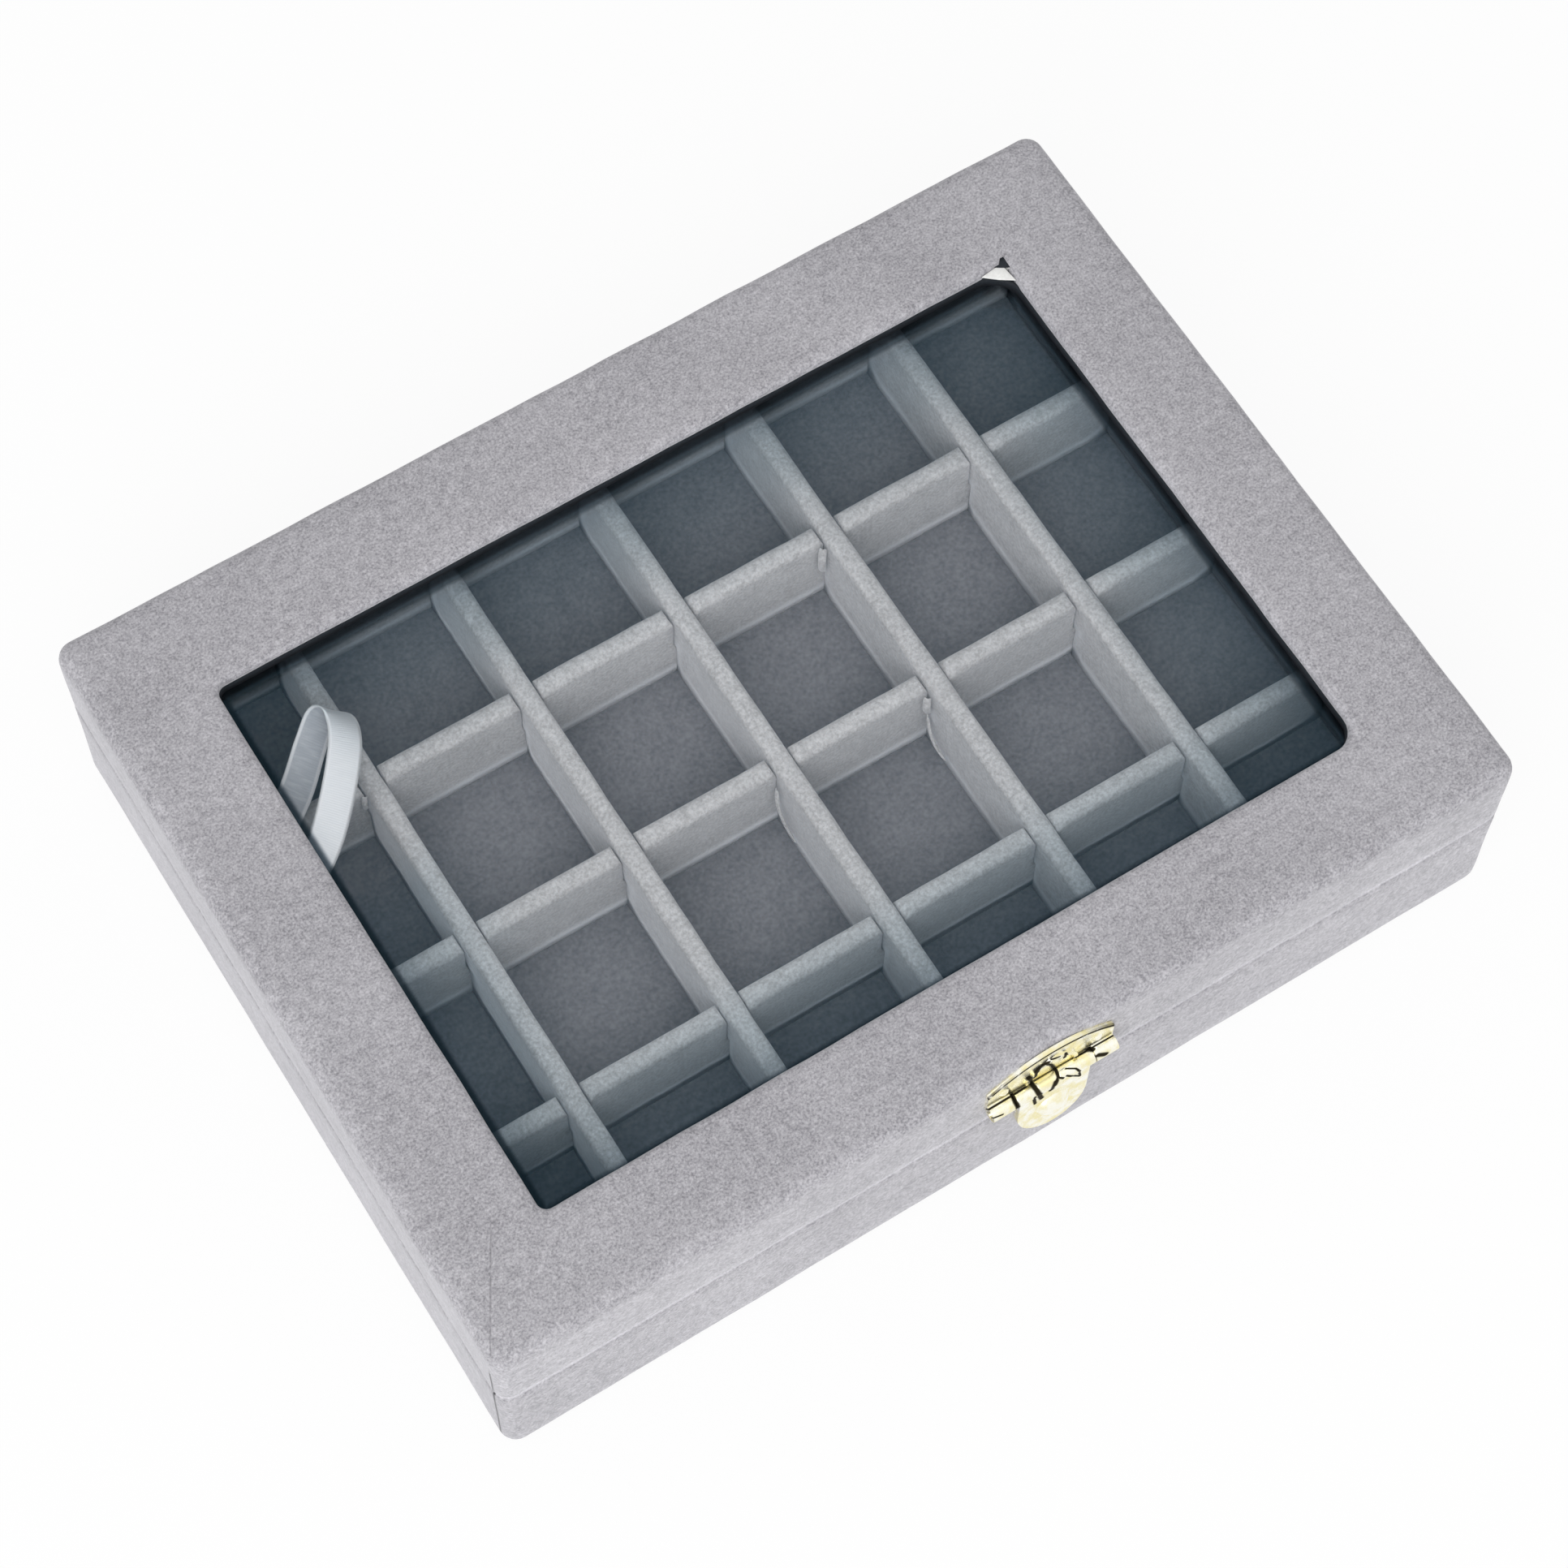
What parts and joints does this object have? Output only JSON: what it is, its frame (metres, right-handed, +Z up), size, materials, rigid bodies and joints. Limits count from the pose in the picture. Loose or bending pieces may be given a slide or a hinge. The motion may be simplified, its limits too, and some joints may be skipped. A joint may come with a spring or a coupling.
{
  "type": "ring display box",
  "caption": "Flat velvet-covered jewellery display box with a divided tray under a hinged glass-topped lid, closed by a brass hasp.",
  "frame": {"origin": "middle of the underside of the base, on the table", "axes": "+X along the front to the right, +Y towards the hinges at the back, +Z up"},
  "size_m": [0.2, 0.1576, 0.045],
  "materials": {
    "outer_velvet": "matt short velvet, pale warm grey",
    "inner_velvet": "matt velvet over padding, grey",
    "board": "pale grey board",
    "base_sheet": "matt grey paper",
    "pale_brass": "pale gold plated, bright",
    "ribbon": "white satin",
    "glass": "clear with a faint blue-green tint"
  },
  "bodies": {
    "base": {"bottom_sheet": "base_sheet", "base_floor_board": "board", "base_front_wall": "board", "base_back_wall": "board", "base_left_wall": "board", "base_right_wall": "board", "base_velvet": "outer_velvet", "floor_pad": "inner_velvet", "base_front_liner": "inner_velvet", "base_back_liner": "inner_velvet", "base_left_liner": "inner_velvet", "base_right_liner": "inner_velvet", "long_divider_1": "inner_velvet", "long_divider_2": "inner_velvet", "long_divider_3": "inner_velvet", "long_divider_4": "inner_velvet", "long_divider_5": "inner_velvet", "cross_divider_1": "inner_velvet", "cross_divider_2": "inner_velvet", "cross_divider_3": "inner_velvet", "left_hinge_base_leaf": "pale_brass", "right_hinge_base_leaf": "pale_brass", "left_hinge_pin": "pale_brass", "right_hinge_pin": "pale_brass", "hinge_base_nails": "pale_brass", "hasp_base_plate": "pale_brass", "hasp_base_nails": "pale_brass", "stay_ribbon": "ribbon"},
    "lid": {"lid_panel": "board", "lid_front_wall": "board", "lid_back_wall": "board", "lid_left_wall": "board", "lid_right_wall": "board", "lid_velvet": "outer_velvet", "window_glass": "glass", "glass_spacer": "board", "lid_lining_frame": "inner_velvet", "lid_front_liner": "inner_velvet", "lid_back_liner": "inner_velvet", "lid_left_liner": "inner_velvet", "lid_right_liner": "inner_velvet", "left_hinge_lid_leaf": "pale_brass", "right_hinge_lid_leaf": "pale_brass", "hinge_lid_nails": "pale_brass", "hasp_lid_plate": "pale_brass", "hasp_pin": "pale_brass", "hasp_lid_nails": "pale_brass"},
    "flap": {"hasp_flap": "pale_brass"}
  },
  "joints": [
    {"name": "lid_hinge", "type": "hinge", "parent": "base", "child": "lid", "pos_m": [0, 0.07665, 0.02615], "axis": [-1, 0, 0], "range_deg": [0, 93], "deforming": ["stay_ribbon"]},
    {"name": "flap_hinge", "type": "hinge", "parent": "lid", "child": "flap", "pos_m": [0.005, -0.0766, 0.0332], "axis": [-1, 0, 0], "range_deg": [0, 150]}
  ]
}
